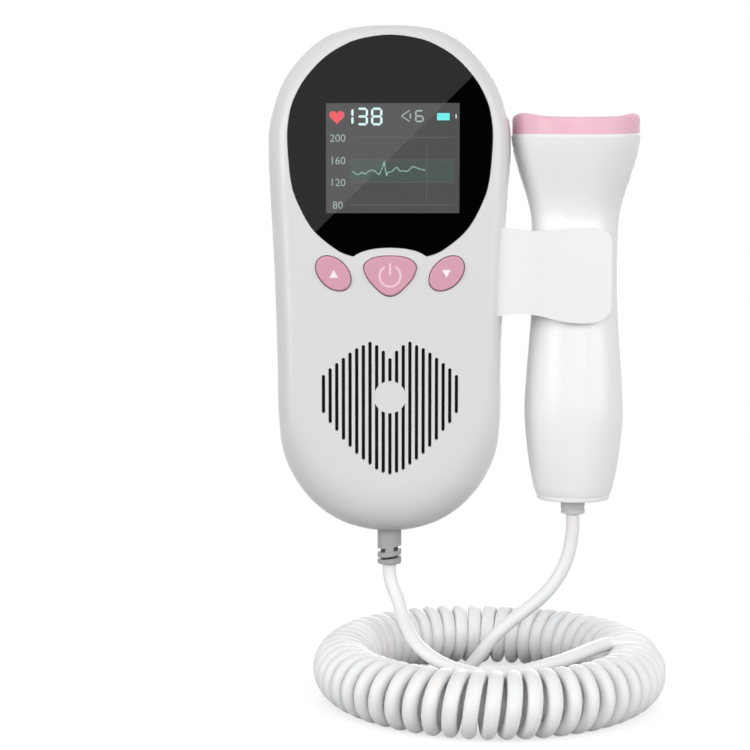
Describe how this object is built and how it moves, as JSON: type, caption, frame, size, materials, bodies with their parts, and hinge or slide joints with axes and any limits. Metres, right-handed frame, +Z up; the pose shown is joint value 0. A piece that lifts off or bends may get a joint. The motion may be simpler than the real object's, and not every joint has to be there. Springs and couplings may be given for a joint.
{
  "type": "fetal doppler monitor",
  "caption": "Upright hand-held ultrasound heartbeat monitor with screen, arrow and power buttons, heart-shaped speaker grille, side-clipped probe and curly cord.",
  "frame": {"origin": "centre of the flat rear face of the display unit", "axes": "+Z up along the unit, -Y out of the display towards the viewer, +X from the unit towards the probe"},
  "size_m": [0.1091, 0.0976, 0.185],
  "materials": {
    "shell_plastic": "moulded ABS, satin gloss",
    "window_acrylic": "polished black acrylic",
    "frame_steel": "pressed steel",
    "screen_glass": "polished",
    "board_laminate": "solder mask on glass-fibre laminate",
    "chip_epoxy": "moulded epoxy",
    "switch_metal": "pressed steel",
    "pink_plastic": "moulded ABS, satin",
    "speaker_metal": "matt black",
    "cone_paper": "pressed cone",
    "magnet_iron": "plated",
    "grille_fabric": "woven dust cloth",
    "cell_wrap": "printed wrap",
    "contact_steel": "nickel plated",
    "socket_plastic": "moulded",
    "screw_steel": "zinc plated",
    "clip_plastic": "moulded ABS, satin",
    "relief_rubber": "moulded PVC, matt",
    "probe_plastic": "moulded ABS, satin gloss",
    "ring_plastic": "moulded ABS, gloss",
    "face_rubber": "silicone, satin",
    "piezo_ceramic": "silvered ceramic",
    "backing_rubber": "cast",
    "cord_jacket": "extruded PVC, satin"
  },
  "bodies": {
    "unit": {"front_shell": "shell_plastic", "rear_shell": "shell_plastic", "display_window": "window_acrylic", "lcd_frame": "frame_steel", "lcd_panel": "screen_glass", "main_board": "board_laminate", "board_chips": "chip_epoxy", "key_switches": "switch_metal", "speaker_basket": "speaker_metal", "speaker_cone": "cone_paper", "speaker_magnet": "magnet_iron", "grille_cloth": "grille_fabric", "battery_cells": "cell_wrap", "battery_contacts": "contact_steel", "headphone_socket": "socket_plastic", "case_screws": "screw_steel", "probe_clip": "clip_plastic", "clip_screws": "screw_steel", "unit_strain_relief": "relief_rubber", "cord_lead_unit": "cord_jacket", "cord_curls": "cord_jacket", "cord_lead_probe": "cord_jacket"},
    "power_key": {"power_button": "pink_plastic"},
    "up_key": {"up_button": "pink_plastic"},
    "down_key": {"down_button": "pink_plastic"},
    "door": {"battery_door": "shell_plastic"},
    "probe": {"probe_shell": "probe_plastic", "probe_ring": "ring_plastic", "transducer_face": "face_rubber", "piezo_discs": "piezo_ceramic", "piezo_backing": "backing_rubber", "probe_board": "board_laminate", "probe_end_cap": "probe_plastic", "probe_strain_relief": "relief_rubber"}
  },
  "joints": [
    {"name": "power_press", "type": "slide", "parent": "unit", "child": "power_key", "axis": [0, 1, 0], "range_m": [0, 0.0006], "stiffness_N_per_m": 1200, "springref_m": -0.0004},
    {"name": "up_press", "type": "slide", "parent": "unit", "child": "up_key", "axis": [0, 1, 0], "range_m": [0, 0.0006], "stiffness_N_per_m": 1200, "springref_m": -0.0004},
    {"name": "down_press", "type": "slide", "parent": "unit", "child": "down_key", "axis": [0, 1, 0], "range_m": [0, 0.0006], "stiffness_N_per_m": 1200, "springref_m": -0.0004},
    {"name": "battery_door_swing", "type": "hinge", "parent": "unit", "child": "door", "pos_m": [0, 0, -0.048], "axis": [-1, 0, 0], "range_deg": [0, 75]},
    {"name": "probe_unclip", "type": "slide", "parent": "unit", "child": "probe", "axis": [1, 0, 0], "range_m": [0, 0.035], "deforming": ["cord_lead_probe"]}
  ]
}
